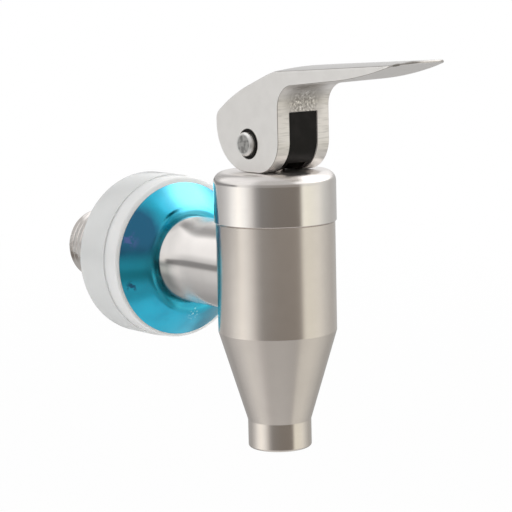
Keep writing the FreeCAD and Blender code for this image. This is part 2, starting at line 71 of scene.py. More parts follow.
class Link:
    """A socket in a shader tree. Sums and products of links add Math nodes to the tree."""

    def __init__(self, tree, socket=None):
        self.tree = tree
        self.socket = socket

    def feed(self, made, sockets):
        """Give a node's sockets their values or links."""
        for name, value in sockets.items():
            if isinstance(value, Link):
                self.tree.links.new(value.socket, made.inputs[name])
            else:
                made.inputs[name].default_value = value

    def node(self, kind, settings=None, sockets=None, output=0):
        """Add a node of a type with its settings, and give its sockets their values or links."""
        made = self.tree.nodes.new(kind)
        for name, value in (settings or {}).items():
            if name == "stops":
                elements = made.color_ramp.elements
                elements.remove(elements[1])
                elements[0].position, elements[0].color = value[0]
                for place, colour in value[1:]:
                    elements.new(place).color = colour
            else:
                setattr(made, name, value)
        self.feed(made, sockets or {})
        return Link(self.tree, made.outputs[output] if made.outputs else None)

    def math(self, operation, *values):
        return self.node("ShaderNodeMath", {"operation": operation}, dict(enumerate(values)))

    def __add__(self, other):
        return self.math("ADD", self, other)

    def __sub__(self, other):
        return self.math("SUBTRACT", self, other)

    def __rsub__(self, other):
        return self.math("SUBTRACT", other, self)

    def __mul__(self, other):
        return self.math("MULTIPLY", self, other)

    def __truediv__(self, other):
        return self.math("DIVIDE", self, other)

    __radd__ = __add__
    __rmul__ = __mul__

    def blend(self, first, second):
        """This factor's mix of two colours."""
        return self.node("ShaderNodeMix", {"data_type": "RGBA"},
                         {0: self, 6: first, 7: second}, output=2)

    def step(self, low, high):
        """A soft step from 0 at low to 1 at high."""
        return self.node("ShaderNodeMapRange", {"interpolation_type": "SMOOTHSTEP"},
                         {"Value": self, "From Min": low, "From Max": high})

    def part(self, axis):
        return self.node("ShaderNodeSeparateXYZ", {}, {"Vector": self}, output=axis)

    def length(self, axes=(1, 1, 1)):
        """How long a vector is, counted along some of its axes."""
        kept = self.node("ShaderNodeVectorMath", {"operation": "MULTIPLY"}, {0: self, 1: axes})
        return self.node("ShaderNodeVectorMath", {"operation": "LENGTH"}, {0: kept},
                         output="Value")

    def near(self, place, core, reach):
        """1 within a core about a place, fading to 0 where its reach ends."""
        between = self.node("ShaderNodeVectorMath", {"operation": "SUBTRACT"},
                            {0: self, 1: place})
        return 1 - between.length().step(core, reach)

    def cloud(self, size, detail=2.0):
        """Noise about 0.5 with lumps of a size, along a line for a number or in space."""
        if self.socket.type == "VALUE":
            return self.node("ShaderNodeTexNoise", {"noise_dimensions": "1D"},
                             {"W": self, "Scale": 1 / size, "Detail": detail})
        return self.node("ShaderNodeTexNoise", {},
                         {"Vector": self, "Scale": 1 / size, "Detail": detail})

    def relief(self, depth, under=None):
        """Surface normal of a height from 0 to 1 that stands for a depth in metres."""
        sockets = {"Height": self, "Distance": depth}
        if under:
            sockets["Normal"] = under
        return self.node("ShaderNodeBump", {}, sockets, output="Normal")


def finish(name, **fixed):
    """A new material, its shader and the surface's Object coordinates."""
    made = bpy.data.materials.new(name)
    made.use_nodes = True
    shader = made.node_tree.nodes["Principled BSDF"]
    for socket, value in fixed.items():
        shader.inputs[socket.replace("_", " ")].default_value = value
    at = Link(made.node_tree).node("ShaderNodeTexCoord", output="Object")
    return made, shader, at


def turned_steel(name, polish, place=(0, 0, 0), turn=(0, 0, 0), tone=STEEL, shade=STEEL_SHADE):
    """Steel as a lathe leaves it, ringed about the axis that place and turn bring to Z."""
    made, shader, at = finish(name, Metallic=1.0)
    at = at.node("ShaderNodeMapping", {}, {"Vector": at, "Location": place, "Rotation": turn})
    walk = at.length((1, 1, 0)) + at.part("Z")
    fine = walk.cloud(FINE_RING)
    broad = walk.cloud(BROAD_RING, 3.0)
    stain = at.cloud(STAIN, 4.0)
    at.feed(shader, {
        "Base Color": (stain.step(*STAINED) * STAIN_TONE + broad * RING_TONE).blend(tone, shade),
        "Roughness": polish + (stain - 0.5) * STAIN_DULLNESS + (broad - 0.5) * RING_DULLNESS,
        "Normal": (fine * 0.7 + broad * 0.3).relief(RING_DEPTH),
    })
    return made


def dress(node, material):
    """Give a CAD node that keeps its own mesh a material."""
    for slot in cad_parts[node].material_slots:
        slot.material = material


barrel_steel = turned_steel("barrel_steel", BARREL_POLISH)
dress("valve_body", barrel_steel)


# Seal ring and bonnet cap
# The cap is a turned steel bonnet that screws into the barrel. Its side is polished finer than
# the barrel and its top is left duller. A flat silicone ring seals the seam between the two.
CAP_POLISH = 0.15
CAP_TOP_DULLNESS = 0.17
FACES_UP = (0.1, 0.8)
CAP_FALL = 0.08
BRIGHT_STEEL = (0.77, 0.735, 0.71, 1)
BRIGHT_SHADE = (0.66, 0.63, 0.605, 1)
SILICONE = (0.80, 0.79, 0.76, 1)
SILICONE_DUST = (0.66, 0.65, 0.62, 1)
SILICONE_IOR = 1.42
LIGHT_UNDER_SKIN = 0.55
LIGHT_REACH = 1.6 * MM
LIGHT_REACH_BY_COLOUR = (1.0, 0.95, 0.9)
MILK_CLOUD = 6.0 * MM
DUST = 0.35 * MM
DUSTY = (0.70, 0.80)
DUST_TONE = 0.12
SKIN = 1.4 * MM
FINE_SKIN = 0.3 * MM
SKIN_DULLNESS = 0.12
SKIN_DEPTH = 0.008 * MM


def already(made, *sockets):
    """A finished material's shader, and links to what already feeds some of its sockets."""
    shader = made.node_tree.nodes["Principled BSDF"]
    return [shader] + [Link(made.node_tree, shader.inputs[socket].links[0].from_socket)
                       for socket in sockets]


cap_steel = turned_steel("cap_steel", CAP_POLISH, tone=BRIGHT_STEEL, shade=BRIGHT_SHADE)
shader, rings, satin = already(cap_steel, "Normal", "Roughness")
height = rings.node("ShaderNodeTexCoord", output="Object").part("Z")
on_top = rings.node("ShaderNodeTexCoord", output="Normal").part("Z").step(*FACES_UP)
# The fall tips the side's shading a little down, so that it mirrors the room's darker part
rings.feed(shader, {
    "Roughness": satin + on_top * CAP_TOP_DULLNESS,
    "Normal": height.relief(CAP_FALL, rings),
})
dress("bonnet_cap", cap_steel)


def silicone(name, tone, gloss, cloudiness, shade=SILICONE_DUST):
    """Milky moulded silicone with light under its skin, faint clouds and a soft skin."""
    made, shader, at = finish(name, Subsurface_Weight=LIGHT_UNDER_SKIN,
                              Subsurface_Scale=LIGHT_REACH,
                              Subsurface_Radius=LIGHT_REACH_BY_COLOUR, IOR=SILICONE_IOR)
    clouds = at.cloud(MILK_CLOUD, 3.0)
    specks = at.cloud(DUST, 1.0).step(*DUSTY)
    skin = at.cloud(SKIN, 3.0)
    dull = (clouds - 0.5).step(-0.15, 0.25) * cloudiness + specks * DUST_TONE
    at.feed(shader, {
        "Base Color": dull.blend(tone, shade),
        "Roughness": gloss + (skin - 0.5) * SKIN_DULLNESS,
        "Normal": (skin * 0.7 + at.cloud(FINE_SKIN) * 0.3).relief(SKIN_DEPTH),
    })
    return made


inner_silicone = silicone("inner_silicone", SILICONE, 0.42, 0.4)
dress("bonnet_seal_ring", inner_silicone)


# Inlet shank
# Steel bar with a bore, coped to the barrel and joined to it: a plain neck, a seat for the
# washers, and a thread cut on the lathe for the nut behind the container's wall.
shank_low, shank_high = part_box("inlet_shank")
wall_low, wall_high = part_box("rear_seal_washer")
flange_low, flange_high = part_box("escutcheon_flange")
SHANK_AXIS = Vector((0, 0, (shank_low.z + shank_high.z) / 2))
ALONG_SHANK = Vector((0, 1, 0))
NECK_RADIUS = shank_high.x
NECK_END = flange_high.y
NECK_ROUND = 0.2 * MM
SHANK_END = shank_high.y
BARREL_RADIUS = 12.2 * MM
COPE_GAP = 0.02 * MM
BORE_RADIUS = 5.5 * MM
MOUTH_CHAMFER = 0.3 * MM
SPIGOT_RADIUS = 7.0 * MM
SPIGOT_START = 9.6 * MM
SEAT_RADIUS = 7.55 * MM
CREST_RADIUS = 8.0 * MM
ROOT_RADIUS = 7.19 * MM
CORE_RADIUS = 6.9 * MM
THREAD_PITCH = 1.5 * MM
THREAD_START = wall_high.y + 0.5 * MM
THREAD_CHAMFER = 0.75 * MM
THREAD_FORM = [(0, ROOT_RADIUS), (0.25, ROOT_RADIUS), (0.5625, CREST_RADIUS),
               (0.6875, CREST_RADIUS), (1, ROOT_RADIUS)]
TURN_STEPS = 96
ROUND_STEPS = 5
SAME_POINT = 0.0005 * MM
ON_CUT = 0.0001 * MM
NECK_POLISH = 0.12
FLARE_START = 17.0 * MM
FLARE_LENGTH = 11.8 * MM
FLARE_RATE = 1350.0
NECK_PAINTED_SHADE = (0.10, 0.12, 0.12, 1)


def outline_on_shank(corners, axis=SHANK_AXIS):
    """Flat outline beside the shank's axis, from (radius, distance, round) corners."""
    shape = bmesh.new()
    places = [axis + Vector((radius, distance, 0)) for radius, distance, _ in corners]
    points = [shape.verts.new(place) for place in places]
    shape.faces.new(points)
    for point, (_, _, rounding) in zip(points, corners):
        if rounding:
            bmesh.ops.bevel(shape, geom=[point], affect="VERTICES", offset=rounding,
                            offset_type="OFFSET", segments=ROUND_STEPS, profile=0.5,
                            material=-1)
    bmesh.ops.delete(shape, geom=shape.faces[:], context="FACES_ONLY")
    return shape


def turn_on_shank(shape, steps=TURN_STEPS, axis=SHANK_AXIS):
    """Turn an outline once round the shank's axis and close it."""
    bmesh.ops.spin(shape, geom=shape.verts[:] + shape.edges[:], cent=axis,
                   axis=ALONG_SHANK, angle=2 * math.pi, steps=steps, use_merge=True)
    bmesh.ops.remove_doubles(shape, verts=shape.verts[:], dist=SAME_POINT)
    bmesh.ops.recalc_face_normals(shape, faces=shape.faces[:])


def spoke(point, axis=SHANK_AXIS):
    """From the shank's axis straight out to a point."""
    return point - axis - ALONG_SHANK * point.y


def cut(shape, place, way, clear=True):
    """Cut a shape in a plane, clear what lies beyond it, and give the edges of the cut."""
    made = bmesh.ops.bisect_plane(shape, geom=shape.verts[:] + shape.edges[:] + shape.faces[:],
                                  plane_co=place, plane_no=way, dist=ON_CUT,
                                  clear_outer=clear)["geom_cut"]
    return [item for item in made if isinstance(item, bmesh.types.BMEdge)]


def piece(name, shape, material, body, nodes, sharp=35):
    """Make an object of a finished shape that stands for CAD nodes and rides on their body."""
    mesh = bpy.data.meshes.new(name)
    shape.to_mesh(mesh)
    shape.free()
    mesh.materials.append(material)
    mesh.polygons.foreach_set("use_smooth", [True] * len(mesh.polygons))
    mesh.set_sharp_from_angle(angle=math.radians(sharp))
    made = bpy.data.objects.new(name, mesh)
    bpy.context.scene.collection.objects.link(made)
    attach(made, body)
    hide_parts(*nodes)
    return made


bar = outline_on_shank([
    (BORE_RADIUS, SPIGOT_START, 0),
    (SPIGOT_RADIUS, SPIGOT_START, 0),
    (SPIGOT_RADIUS, BARREL_RADIUS, 0),
    (NECK_RADIUS, BARREL_RADIUS, 0),
    (NECK_RADIUS, NECK_END, NECK_ROUND),
    (SEAT_RADIUS, NECK_END, 0),
    (SEAT_RADIUS, THREAD_START, 0),
    (CORE_RADIUS, THREAD_START, 0),
    (CORE_RADIUS, SHANK_END, 0),
    (BORE_RADIUS + MOUTH_CHAMFER, SHANK_END, 0),
    (BORE_RADIUS, SHANK_END - MOUTH_CHAMFER, 0),
])
turn_on_shank(bar)
# The neck's end is coped to the barrel
for corner in bar.verts:
    if abs(corner.co.y - BARREL_RADIUS) < 0.001 * MM:
        corner.co.y = math.sqrt((BARREL_RADIUS + COPE_GAP) ** 2 - corner.co.x ** 2)

# One pitch of the thread's outline, turned and moved on until it covers the end of the bar
thread = bmesh.new()
first_turn = THREAD_START - THREAD_PITCH
turns = math.ceil((SHANK_END - first_turn) / THREAD_PITCH)
points = []
for share, radius in THREAD_FORM:
    place = SHANK_AXIS + Vector((radius, first_turn + share * THREAD_PITCH, 0))
    points.append(thread.verts.new(place))
for before, after in zip(points, points[1:]):
    thread.edges.new((before, after))
bmesh.ops.spin(thread, geom=thread.verts[:] + thread.edges[:], cent=SHANK_AXIS,
               axis=ALONG_SHANK, dvec=ALONG_SHANK * THREAD_PITCH / TURN_STEPS,
               angle=2 * math.pi * turns, steps=TURN_STEPS * turns)
bmesh.ops.remove_doubles(thread, verts=thread.verts[:], dist=2 * SAME_POINT)
cut(thread, ALONG_SHANK * THREAD_START, -ALONG_SHANK)
cut(thread, ALONG_SHANK * SHANK_END, ALONG_SHANK)
cut(thread, ALONG_SHANK * (THREAD_START + THREAD_CHAMFER), ALONG_SHANK, clear=False)
cut(thread, ALONG_SHANK * (SHANK_END - THREAD_CHAMFER), ALONG_SHANK, clear=False)
for corner in thread.verts:
    out = spoke(corner.co)
    from_end = min(corner.co.y - THREAD_START, SHANK_END - corner.co.y)
    allowed = CREST_RADIUS - max(0, THREAD_CHAMFER - from_end)
    if out.length > allowed:
        corner.co -= out * (1 - allowed / out.length)
rims = [edge for edge in thread.edges if edge.is_boundary]
ends = bmesh.ops.extrude_edge_only(thread, edges=rims)["geom"]
for corner in [item for item in ends if isinstance(item, bmesh.types.BMVert)]:
    out = spoke(corner.co)
    corner.co -= out * (1 - CORE_RADIUS / out.length)
bmesh.ops.recalc_face_normals(thread, faces=thread.faces[:])
thread_mesh = bpy.data.meshes.new("thread")
thread.to_mesh(thread_mesh)
thread.free()
bar.from_mesh(thread_mesh)
bpy.data.meshes.remove(thread_mesh)

# Towards the film the neck's shading flares, which keeps the film's blue out of it, and a
# painted shade darkens its steel next to the film, most of all on the underside
shank_steel = turned_steel("shank_steel", NECK_POLISH, place=(0, SHANK_AXIS.z, 0),
                           turn=(math.pi / 2, 0, 0), tone=BRIGHT_STEEL, shade=BRIGHT_SHADE)
shader, rings, tone = already(shank_steel, "Normal", "Base Color")
at = rings.node("ShaderNodeTexCoord", output="Object")
along = at.part("Y") - FLARE_START
along = along.math("MINIMUM", along.math("MAXIMUM", along, 0), FLARE_LENGTH)
under = 0.15 + (SHANK_AXIS.z - at.part("Z")).step(-1.3 * MM, 0.1 * MM) * 0.6
painted_shade = along.step(4.0 * MM, 9.0 * MM) * (1 - at.part("Y").step(NECK_END, NECK_END + MM))
rings.feed(shader, {
    "Base Color": (painted_shade * under).blend(tone, NECK_PAINTED_SHADE),
    "Normal": (along * along * along).relief(FLARE_RATE, rings),
})
piece("threaded_shank", bar, shank_steel, "tap", ["inlet_shank"], 28)


# Escutcheon flange
# Dished ring pressed from steel sheet that covers the hole in the container. Its front still
# has the clear blue film that guards it, drawn in over the crest as far as the neck.
FILM = (0.015, 0.50, 0.72, 1)
FILM_DEEP = (0.008, 0.16, 0.31, 1)
FILM_PALE = (0.02, 0.66, 0.95, 1)
FILM_PAINTED_HIGHLIGHT = (0.17, 0.62, 0.78, 1)
FILM_SMUDGE = (0.12, 0.17, 0.48, 1)
FILM_SPECK = (0.45, 0.80, 0.88, 1)
FILM_GLOSS = 0.75
FILM_GAP = 0.03 * MM
RIM_RADIUS = flange_high.x
RIM_ROUND = 0.12 * MM
BARE_RIM = (RIM_RADIUS - 0.13 * MM, RIM_RADIUS - 0.07 * MM)
CREST_RADIUS_OF_DISH = 11.2 * MM
CREST_ROUND = 1.4 * MM
DISH_DEPTH = 4.6 * MM
LIP_DEPTH = 0.3 * MM
LIP_ROUND = 0.1 * MM
HOLE_RADIUS = 9.63 * MM
SHEET = 0.8 * MM
FRONT_SKIN = (0.48 * MM, 0.6 * MM)
FLANGE_STEPS = 128
FLANGE_AXIS = Vector((0, 0, (flange_low.z + flange_high.z) / 2))
CREST_AT = NECK_END - DISH_DEPTH
DISH_SLOPE = DISH_DEPTH / (RIM_RADIUS - CREST_RADIUS_OF_DISH)
LIP_SLOPE = LIP_DEPTH / (CREST_RADIUS_OF_DISH - HOLE_RADIUS)
WRINKLE = 6.0 * MM
WRINKLE_DEPTH = 0.035 * MM
SCUFF = 0.5 * MM
PATCH = 1.3 * MM

dish = outline_on_shank([
    (RIM_RADIUS, NECK_END, RIM_ROUND),
    (CREST_RADIUS_OF_DISH, CREST_AT, CREST_ROUND),
    (HOLE_RADIUS, CREST_AT + LIP_DEPTH, LIP_ROUND),
    (HOLE_RADIUS, CREST_AT + LIP_DEPTH + SHEET, LIP_ROUND),
    (CREST_RADIUS_OF_DISH - 0.2 * MM, CREST_AT + 0.85 * MM, 0.5 * MM),
    (RIM_RADIUS - 1.3 * MM, NECK_END, 0),
], FLANGE_AXIS)
turn_on_shank(dish, FLANGE_STEPS, FLANGE_AXIS)
# The film's lip is drawn in until it all but touches the neck
for corner in dish.verts:
    out = spoke(corner.co, FLANGE_AXIS)
    if out.length < HOLE_RADIUS + 0.12 * MM:
        reach = NECK_RADIUS + FILM_GAP + out.length - HOLE_RADIUS
        corner.co = SHANK_AXIS + ALONG_SHANK * corner.co.y + out.normalized() * reach

filmed_steel, shader, at = finish("filmed_steel", Metallic=1.0, Coat_Roughness=0.05)
flat_at = at.node("ShaderNodeMapping", {}, {"Vector": at, "Location": (0, 0, -FLANGE_AXIS.z)})
ring = flat_at.length((1, 0, 1))
front_at = flat_at.math("MAXIMUM", (ring - CREST_RADIUS_OF_DISH) * DISH_SLOPE,
                        (CREST_RADIUS_OF_DISH - ring) * LIP_SLOPE) + CREST_AT
on_front = 1 - (flat_at.part("Y") - front_at).step(*FRONT_SKIN)
on_film = on_front * (1 - ring.step(*BARE_RIM))
wrinkle = at.cloud(WRINKLE, 3.0)
scuff = at.cloud(SCUFF, 2.0).step(0.70, 0.76)
patchy = at.cloud(PATCH, 3.0).step(0.47, 0.58)
# What the film shows seen from the left front: a deep blue left side in painted shade with a
# patchy smudge, a paler spot and a nick under it, a painted highlight at the top, and specks low
# by the barrel
shaded_left = at.near((-14.3 * MM, 31.2 * MM, 43.0 * MM), 4.0 * MM, 8.0 * MM)
smudge = at.near((-14.7 * MM, 31.5 * MM, 41.4 * MM), 0.4 * MM, 2.8 * MM)
pale = at.near((-14.5 * MM, 31.0 * MM, 34.2 * MM), 1.5 * MM, 6.0 * MM)
nick = at.near((-14.5 * MM, 31.2 * MM, 31.4 * MM), 0.4 * MM, 1.6 * MM)
painted_highlight = at.near((1.0 * MM, 30.9 * MM, 50.8 * MM), 2.5 * MM, 9.0 * MM)
specks = at.near((-0.2 * MM, 28.6 * MM, 24.0 * MM), 0.6 * MM, 2.2 * MM)
# Painted shade: the film's left side is a deeper blue
tone = (shaded_left + wrinkle.step(0.4, 0.7) * 0.25).blend(FILM, FILM_DEEP)
tone = (pale * 0.6).blend(tone, FILM_PALE)
# Painted highlight: a paler patch at the film's top
tone = (painted_highlight * 0.8).blend(tone, FILM_PAINTED_HIGHLIGHT)
tone = (specks * at.cloud(0.4 * MM).step(0.56, 0.66)).blend(tone, FILM_SPECK)
tone = (smudge * patchy * 0.8).blend(tone, FILM_SMUDGE)
tone = (nick * (1 - patchy)).blend(tone, FILM_DEEP)
at.feed(shader, {
    "Base Color": on_film.blend(STEEL, tone),
    "Roughness": 0.20 + scuff * 0.10 + (wrinkle - 0.5) * 0.06,
    "Coat Weight": on_film * FILM_GLOSS,
    "Normal": (wrinkle * 0.85 + at.cloud(0.9 * MM) * 0.15).relief(WRINKLE_DEPTH),
})
piece("filmed_flange", dish, filmed_steel, "tap", ["escutcheon_flange"], 35)


# Seal washers
# Two moulded silicone washers on the shank's seat, the thin one against the flange and the
# thick one against the container's wall. They are milky and let some light through.
WASHER_BORE = 7.6 * MM
WASHER_STEPS = 128
BORE_ROUND = 0.12 * MM
FRONT_ROUND = 0.4 * MM
TOUCHING_ROUND = 0.06 * MM
REAR_ROUND = 1.3 * MM
thin_silicone = silicone("thin_silicone", (0.86, 0.865, 0.86, 1), 0.24, 0.2,
                         (0.79, 0.795, 0.79, 1))
thick_silicone = silicone("thick_silicone", (0.75, 0.76, 0.755, 1), 0.18, 0.2,
                          (0.66, 0.665, 0.66, 1))


def washer(name, node, material, front_round, rear_round):
    """One washer of the size of its CAD node, with soft rounds on its outer edges."""
    low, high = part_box(node)
    shape = outline_on_shank([
        (WASHER_BORE, low.y, BORE_ROUND),
        (high.x, low.y, front_round),
        (high.x, high.y, rear_round),
        (WASHER_BORE, high.y, BORE_ROUND),
    ])
    turn_on_shank(shape, WASHER_STEPS)
    return piece(name, shape, material, "tap", [node], 50)


washer("thin_washer", "front_seal_washer", thin_silicone, FRONT_ROUND, TOUCHING_ROUND)
washer("thick_washer", "rear_seal_washer", thick_silicone, TOUCHING_ROUND, REAR_ROUND)


# Stem, plug and what holds the plug
# A steel rod with a flat eye for the lever's pin. A silicone plug on its foot closes the seat,
# held by a steel washer and a slotted screw that sit in the plug's recess.
STEM_POLISH = 0.18
SCREW_POLISH = 0.24
stem_steel = turned_steel("stem_steel", STEM_POLISH)
dress("valve_stem", stem_steel)
dress("plug_washer", stem_steel)
dress("plug_screw", turned_steel("screw_steel", SCREW_POLISH))
dress("seat_plug", inner_silicone)


# Return spring with its collar, clip and washer
# A collar on the stem, kept by an open clip in a groove, carries a spring of hard steel wire.
# Its end turns lie close and are ground flat, and a thin washer keeps it off the guide.
spring_low, spring_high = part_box("return_spring")
WIRE_RADIUS = 0.5 * MM
SPRING_RADIUS = spring_high.x - WIRE_RADIUS
SPRING_FOOT = 33.72 * MM
SPRING_TOP = 48.58 * MM
END_TURNS = 1
END_RISE = 2 * WIRE_RADIUS * 1.04
FREE_TURNS = 4.5
FREE_RISE = (SPRING_TOP - SPRING_FOOT - 2 * END_RISE * END_TURNS) / FREE_TURNS
COIL_STEPS = 40
WIRE_SIDES = 14

coil = bmesh.new()
bmesh.ops.create_circle(coil, segments=WIRE_SIDES, radius=WIRE_RADIUS)
bmesh.ops.rotate(coil, verts=coil.verts[:], cent=(0, 0, 0),
                 matrix=Matrix.Rotation(math.pi / 2, 3, "X"))
bmesh.ops.translate(coil, verts=coil.verts[:], vec=(SPRING_RADIUS, 0, SPRING_FOOT))
last = coil.verts[:] + coil.edges[:]
for length, rise in ((END_TURNS, END_RISE), (FREE_TURNS, FREE_RISE), (END_TURNS, END_RISE)):
    last = bmesh.ops.spin(coil, geom=last, cent=(0, 0, 0), axis=(0, 0, 1),
                          dvec=(0, 0, rise / COIL_STEPS), angle=2 * math.pi * length,
                          steps=round(COIL_STEPS * length))["geom_last"]
bmesh.ops.holes_fill(coil, edges=[edge for edge in coil.edges if edge.is_boundary], sides=0)
for ground, outwards in ((SPRING_FOOT, -1), (SPRING_TOP, 1)):
    bmesh.ops.holes_fill(coil, edges=cut(coil, (0, 0, ground), (0, 0, outwards)), sides=0)
bmesh.ops.recalc_face_normals(coil, faces=coil.faces[:])


def grained(name, size, detail, spread, tones, dullness, swing, depth, **fixed):
    """One even grain of a size, in a surface's colour, dullness and relief."""
    made, shader, at = finish(name, **fixed)
    grain = at.cloud(size, detail)
    at.feed(shader, {
        "Base Color": grain.step(*spread).blend(*tones),
        "Roughness": dullness + (grain - 0.5) * swing,
        "Normal": grain.relief(depth),
    })
    return made


spring_steel = grained("spring_steel", 0.25 * MM, 3.0, (0.35, 0.7),
                       ((0.56, 0.53, 0.50, 1), (0.42, 0.39, 0.36, 1)),
                       0.26, 0.2, 0.006 * MM, Metallic=1.0)
spring = piece("wire_spring", coil, spring_steel, "tap", ["return_spring"], 40)
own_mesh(spring)
dress("collar_clip", spring_steel)
dress("spring_collar", stem_steel)
dress("spring_top_washer", stem_steel)


# Guide bush and O-rings
# A plastic bush in the cap keeps the stem upright. Two rubber O-rings in its grooves keep the
# drink from coming up along the stem.
dress("stem_guide_bush", grained("guide_plastic", 0.5 * MM, 3.0, (0.3, 0.8),
                                 ((0.72, 0.72, 0.70, 1), (0.64, 0.64, 0.61, 1)),
                                 0.42, 0.15, 0.01 * MM, IOR=1.48))
dress("stem_seal_rings", grained("ring_rubber", 0.2 * MM, 2.0, (0.3, 0.8),
                                 ((0.022, 0.022, 0.022, 1), (0.045, 0.043, 0.04, 1)),
                                 0.5, 0.2, 0.01 * MM, IOR=1.5))


# Lever
# Stainless steel casting: two round cheeks that roll on the cap, a sloping heel and a thin
# paddle. Its faces are blasted to an even pale grey, and the hollow over the slot stays rough.
# Painted light and shade lie on it by where its faces point: paler flanks and underside, and a
# darker top and darker edge rounds. The hollow has painted shade, and painted glints lie by the
# slot.
pin_low, pin_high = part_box("pivot_pin")
PIN_Z = (pin_low.z + pin_high.z) / 2
LEVER_EDGE = 0.2 * MM
CAST = (0.72, 0.69, 0.66, 1)
CAST_SHADE = (0.66, 0.63, 0.60, 1)
CAST_SCRAPED = (0.47, 0.45, 0.425, 1)
CAST_FLANK_PAINTED_LIGHT = (0.93, 0.91, 0.885, 1)
CAST_FLANK_PAINTED_LIGHT_MOTTLE = (0.88, 0.86, 0.835, 1)
CAST_UNDERSIDE_PAINTED_LIGHT = (0.90, 0.875, 0.85, 1)
CAST_TOP_PAINTED_SHADE = (0.56, 0.55, 0.54, 1)
CAST_EDGE_PAINTED_SHADE = (0.34, 0.32, 0.30, 1)
CAST_HOLLOW_PAINTED_SHADE = (0.46, 0.435, 0.41, 1)
CAST_PAINTED_GLINT = (0.86, 0.83, 0.80, 1)
CAST_PIT = (0.34, 0.32, 0.295, 1)
CAST_DULLNESS = 0.46
CAST_DEPTH = 0.06 * MM
BLAST = 0.12 * MM
MOTTLE = 3.0 * MM
GRIT = 0.5 * MM
SCRAPE = 2.4 * MM
HOLLOW_AT = (0, -9.8 * MM, PIN_Z + 9.0 * MM)
SLOT_TOP_AT = (0, -9.8 * MM, PIN_Z + 7.6 * MM)
DENT_AT = (-5.85 * MM, -42.7 * MM, PIN_Z + 16.3 * MM)
FACES_OUT = (0.5, 0.9)

casting = bmesh.new()
casting.from_mesh(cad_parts["lever"].data)
bmesh.ops.remove_doubles(casting, verts=casting.verts[:], dist=2 * SAME_POINT)
bmesh.ops.dissolve_limit(casting, angle_limit=math.radians(0.5), verts=casting.verts[:],
                         edges=casting.edges[:])
crisp = [edge for edge in casting.edges
         if edge.is_manifold and edge.calc_face_angle() > math.radians(30)]
bmesh.ops.bevel(casting, geom=crisp, affect="EDGES", offset=LEVER_EDGE, offset_type="OFFSET",
                segments=3, profile=0.5, material=-1)

cast_steel, shader, at = finish("cast_lever_steel", Metallic=1.0)
blast = at.cloud(BLAST, 2.0)
mottle = at.cloud(MOTTLE, 4.0)
grit = at.cloud(GRIT, 5.0)
pits = grit.step(0.50, 0.62)
glint_spots = 1 - grit.step(0.36, 0.46)
hollow = at.near(HOLLOW_AT, 2.8 * MM, 6.4 * MM)
by_slot = at.near(SLOT_TOP_AT, 1.5 * MM, 4.6 * MM)
dent = at.near(DENT_AT, 0.35 * MM, 1.1 * MM)
rough_spots = (pits * by_slot + dent * 0.9).step(0.05, 0.9)
# Where a face of the lever itself points: flank outwards, edge on the rounds beside a flank.
# By this the flanks and underside get painted light, and the top and edge rounds painted shade
facing = at.node("ShaderNodeTexCoord", output="Normal")
sideways = at.math("ABSOLUTE", facing.part("X"))
flank = sideways.step(0.80, 0.97)
edge = sideways.step(0.25, 0.45) * (1 - flank)
scraped = at.node("ShaderNodeMapping", {}, {"Vector": at, "Scale": (0.5, 1, 6)})
scraped = scraped.cloud(SCRAPE, 4.0).step(0.46, 0.66)
tone = (mottle.step(0.35, 0.75) * 0.3).blend(CAST, CAST_SHADE)
tone = (scraped * 0.55).blend(tone, CAST_SCRAPED)
# Painted light on the flanks and underside, painted shade on the top and the edge rounds
tone = flank.blend(tone, mottle.step(0.3, 0.8).blend(CAST_FLANK_PAINTED_LIGHT, CAST_FLANK_PAINTED_LIGHT_MOTTLE))
tone = (0 - facing.part("Z")).step(*FACES_OUT).blend(tone, CAST_UNDERSIDE_PAINTED_LIGHT)
tone = facing.part("Z").step(*FACES_OUT).blend(tone, CAST_TOP_PAINTED_SHADE)
tone = (edge * 0.6).blend(tone, CAST_EDGE_PAINTED_SHADE)
# Painted shade in the hollow over the slot
tone = hollow.blend(tone, CAST_HOLLOW_PAINTED_SHADE)
# Painted glints: bright specks on the rough casting by the slot
tone = (glint_spots * by_slot * 0.7).blend(tone, CAST_PAINTED_GLINT)
tone = rough_spots.blend(tone, CAST_PIT)
at.feed(shader, {
    "Base Color": tone,
    "Roughness": CAST_DULLNESS + (mottle - 0.5) * 0.06 + rough_spots * 0.15 - hollow * 0.14,
    "Normal": (blast * 0.2 + pits * hollow * 0.8).relief(CAST_DEPTH),
})
lever = piece("cast_lever", casting, cast_steel, "lever", ["lever"], 60)
lever.modifiers.new("even_shading", "WEIGHTED_NORMAL").keep_sharp = True


# Fork insert and pivot bushes
# A black plastic block fills the fork between the cheeks and leaves the stem room to swing.
# Two bushes of the same plastic line the pin's holes in the cheeks.
BLACK = (0.006, 0.005, 0.004, 1)
BLACK_RUBBED = (0.012, 0.010, 0.009, 1)
BLACK_DULLNESS = 0.42
BLACK_GRAIN = 0.15 * MM
BLACK_DEPTH = 0.012 * MM
RUBBED = 2.5 * MM

black_plastic, shader, at = finish("black_plastic", IOR=1.5, Specular_IOR_Level=0.12)
rubbed = at.cloud(RUBBED, 4.0)
at.feed(shader, {
    "Base Color": rubbed.step(0.4, 0.75).blend(BLACK, BLACK_RUBBED),
    "Roughness": BLACK_DULLNESS + (rubbed - 0.5) * 0.2,
    "Normal": at.cloud(BLACK_GRAIN, 2.0).relief(BLACK_DEPTH),
})
dress("fork_insert", black_plastic)
dress("pivot_bushes", black_plastic)


